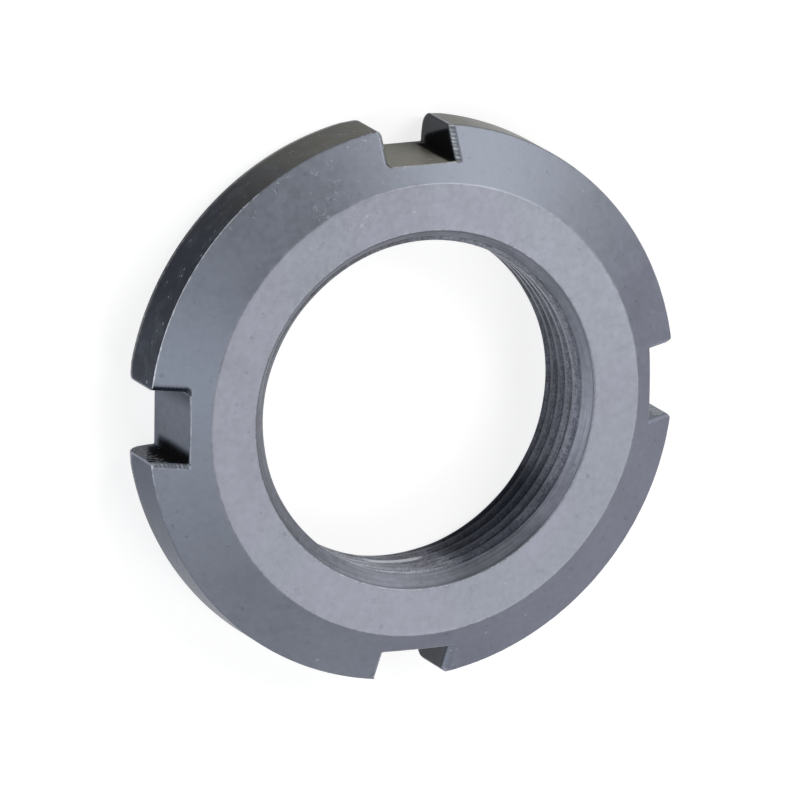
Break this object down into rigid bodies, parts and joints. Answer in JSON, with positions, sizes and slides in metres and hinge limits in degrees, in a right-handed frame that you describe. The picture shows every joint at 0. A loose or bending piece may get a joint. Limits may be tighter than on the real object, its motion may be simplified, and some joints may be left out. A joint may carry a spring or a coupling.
{
  "type": "bearing lock nut",
  "caption": "Slotted round lock nut with a fine threaded bore, a flat back, a wide bevelled front and spanner slots round the rim.",
  "frame": {"origin": "centre of the bore on the flat back face, which is the face the nut rests on", "axes": "+Z along the bore, towards the bevelled front face; +X and +Y through two neighbouring spanner slots"},
  "size_m": [0.0318, 0.0318, 0.006],
  "materials": {
    "blackened_steel": "blackened and oiled turned steel, satin blue-grey, with fine grain and small handling marks"
  },
  "bodies": {
    "root": {"lock_nut": "blackened_steel"}
  },
  "joints": []
}
